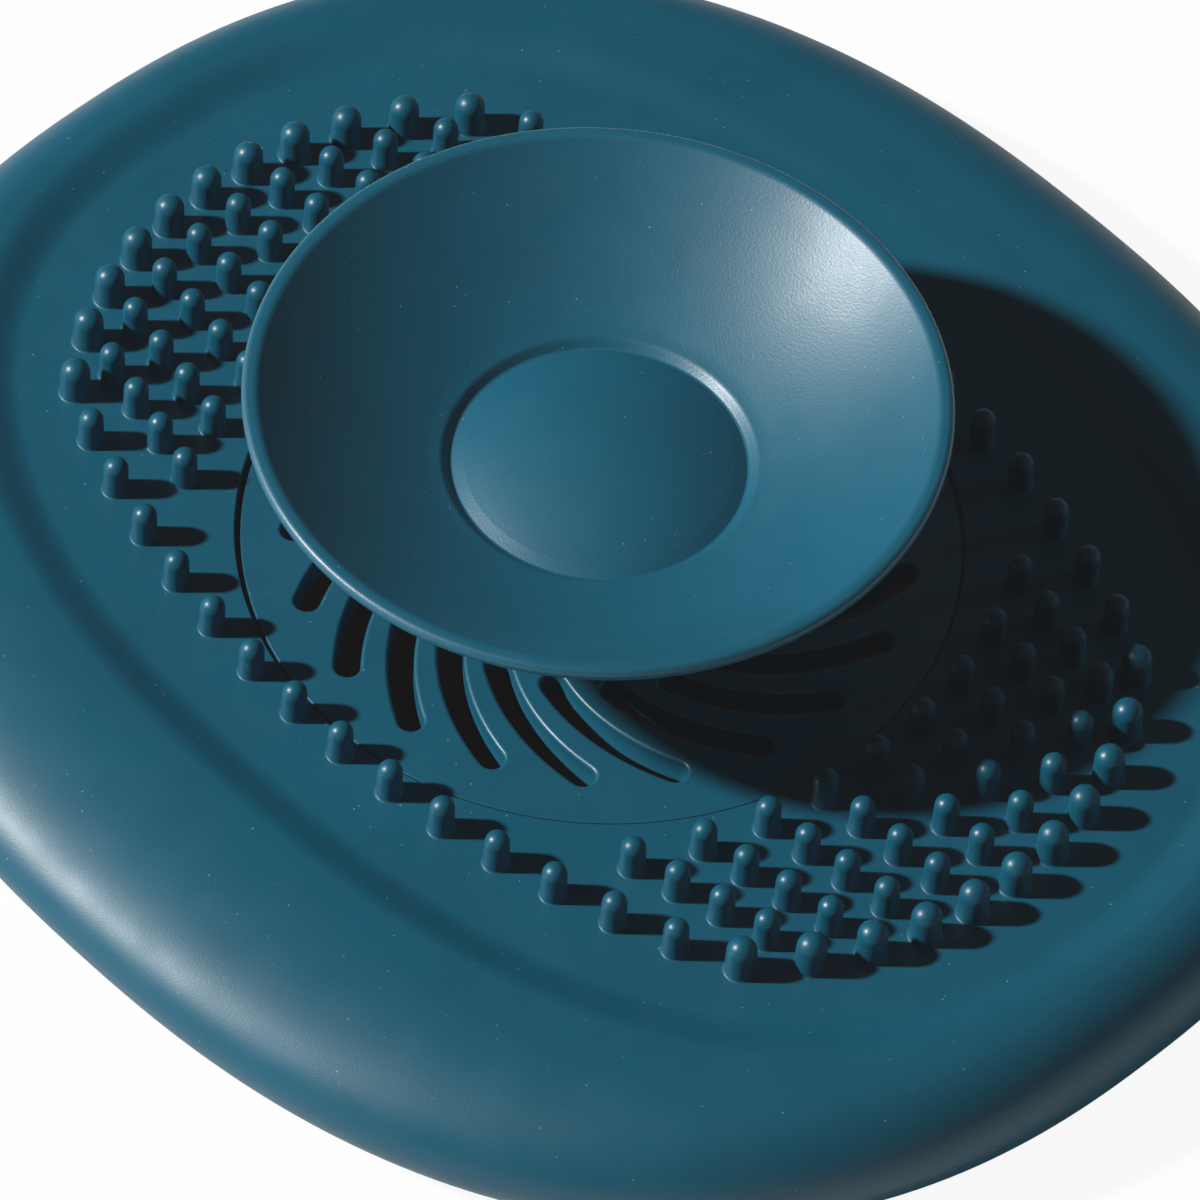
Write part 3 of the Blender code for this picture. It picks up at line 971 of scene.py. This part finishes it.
def make_floor():
    """Plain pale floor that keeps the part's shadow, with a disc of painted shade under the strainer.
    """
    bpy.ops.mesh.primitive_plane_add(size=floor_size, location=(0, 0, -guard))
    floor = bpy.context.object
    floor.name = "floor"
    material = bpy.data.materials.new("floor_white")
    material.use_nodes = True
    tree = material.node_tree
    shader = tree.nodes["Principled BSDF"]
    shader.inputs["Roughness"].default_value = floor_roughness
    shader.inputs["Specular IOR Level"].default_value = 0.0
    place = tree.nodes.new("ShaderNodeTexCoord").outputs["Object"]
    length = tree.nodes.new("ShaderNodeVectorMath")
    length.operation = "LENGTH"
    tree.links.new(place, length.inputs[0])
    # Painted shade: under the strainer the floor is a near-black disc that glows only faintly to the
    # camera, standing in for the shade beneath the mat
    outside = add_range(tree, length.outputs["Value"], painted_shade_radius - guard, painted_shade_radius, 0.0, 1.0)
    base = add_mix(tree, outside, (painted_shade_black,) * 3, (floor_white,) * 3)
    tree.links.new(base, shader.inputs["Base Color"])
    glow = tree.nodes.new("ShaderNodeEmission")
    tree.links.new(add_mix(tree, outside, (painted_shade_glow,) * 3, (1.0,) * 3), glow.inputs["Color"])
    rays = tree.nodes.new("ShaderNodeLightPath")
    seen = add_range(tree, rays.outputs["Is Camera Ray"], 0.0, 1.0, 0.0, floor_glow_share)
    mixer = tree.nodes.new("ShaderNodeMixShader")
    tree.links.new(seen, mixer.inputs["Fac"])
    tree.links.new(shader.outputs["BSDF"], mixer.inputs[1])
    tree.links.new(glow.outputs["Emission"], mixer.inputs[2])
    tree.links.new(mixer.outputs["Shader"], tree.nodes["Material Output"].inputs["Surface"])
    floor.data.materials.append(material)


def make_camera():
    """Camera at the photograph's viewing angle: long lens, from the front right and above."""
    data = bpy.data.cameras.new("camera")
    data.sensor_width = sensor_width_mm
    data.lens = sensor_width_mm * focal_pixels / image_pixels
    data.clip_start = view_distance / 100
    data.clip_end = view_distance * 100
    level_right = Vector((cos(view_azimuth), sin(view_azimuth), 0))
    ahead = Vector((-sin(view_azimuth), cos(view_azimuth), 0))
    forward = ahead * cos(view_elevation) - Vector((0, 0, sin(view_elevation)))
    level_up = level_right.cross(forward)
    right = level_right * cos(view_roll) + level_up * sin(view_roll)
    up = level_up * cos(view_roll) - level_right * sin(view_roll)
    across = (pivot_pixel[0] - image_pixels / 2) / focal_pixels * view_distance
    above = (image_pixels / 2 - pivot_pixel[1]) / focal_pixels * view_distance
    place = Vector((0, 0, deck_height)) - right * across - up * above - forward * view_distance
    camera = bpy.data.objects.new("camera", data)
    turned = Matrix((right, up, -forward)).transposed().to_4x4()
    camera.matrix_world = Matrix.Translation(place) @ turned
    bpy.context.scene.collection.objects.link(camera)
    bpy.context.scene.camera = camera


mat_silicone = silicone(
    "mat_satin", mat_colour, gloss=0.50, roughness=0.47, tip_roughness=0.39, coat=0.07,
    grain_size=0.00016, grain_depth=0.000010,
)
strainer_silicone = silicone(
    "strainer_satin", mat_colour, gloss=0.52, roughness=0.47, tip_roughness=0.47, coat=0.50,
    grain_size=0.00018, grain_depth=0.000008,
)
stopper_silicone = silicone(
    "stopper_satin", stopper_colour, gloss=0.65, roughness=0.48, tip_roughness=0.48, coat=0.30,
    grain_size=0.00021, grain_depth=0.000014,
)
make_mat(mat_silicone)
make_strainer(strainer_silicone)
make_stopper(stopper_silicone)
make_suction_cups(mat_silicone)
make_lamps()
make_world()
make_floor()
make_camera()
bpy.context.scene.view_settings.view_transform = "Standard"
